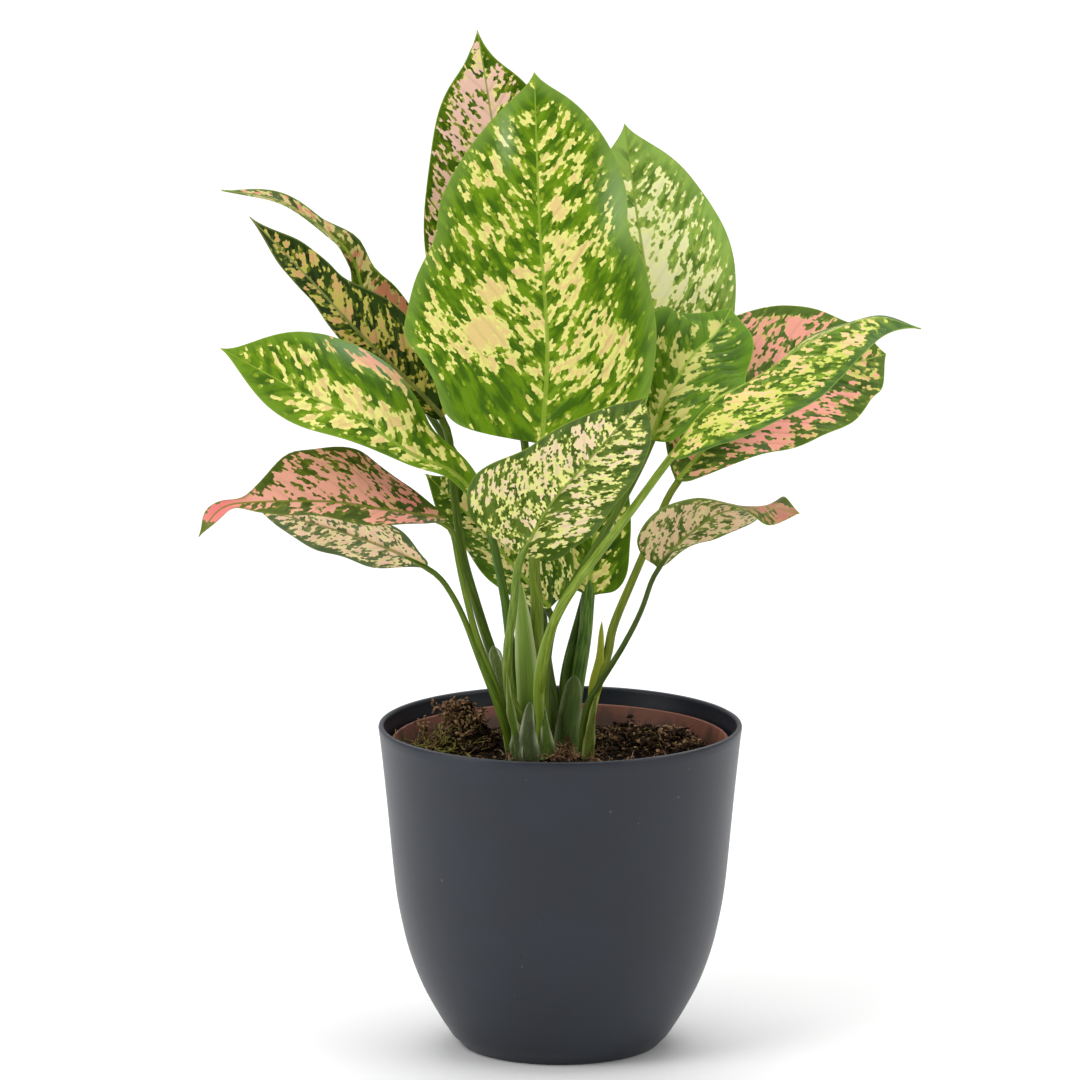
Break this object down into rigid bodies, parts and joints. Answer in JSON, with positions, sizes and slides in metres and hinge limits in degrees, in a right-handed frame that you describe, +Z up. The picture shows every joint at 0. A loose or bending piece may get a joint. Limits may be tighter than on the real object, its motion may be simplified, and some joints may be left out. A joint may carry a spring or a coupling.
{
  "type": "potted aglaonema",
  "caption": "Leafy houseplant with broad variegated blades on slim petioles, standing in peat in a nursery pot inside a plain tapered cover pot.",
  "frame": {"origin": "middle of the cover pot's underside", "axes": "+Z up along the pot's axis, -Y towards the front of the plant, +X to the right seen from the front"},
  "size_m": [0.274, 0.1468, 0.385],
  "materials": {
    "cover_pot": "satin anthracite",
    "nursery_pot": "terracotta coloured",
    "peat": "damp fibrous peat",
    "stalk": "smooth green stalk",
    "leaf": "waxy variegated leaf"
  },
  "bodies": {
    "root": {"cover_pot": "cover_pot", "nursery_pot": "nursery_pot", "soil": "peat", "shoot_left": "stalk", "shoot_centre": "stalk", "shoot_back": "stalk", "shoot_right": "stalk", "blade_front_large": "leaf", "blade_front_low": "leaf", "blade_back_top": "leaf", "blade_right_top": "leaf", "blade_right_bent": "leaf", "blade_right_broad": "leaf", "blade_right_folded": "leaf", "blade_right_low": "leaf", "blade_left_pink": "leaf", "blade_left_pale": "leaf", "blade_left_broad": "leaf", "blade_left_dark": "leaf", "blade_left_curl": "leaf", "blade_low_left": "leaf", "blade_low_right": "leaf"}
  },
  "joints": []
}
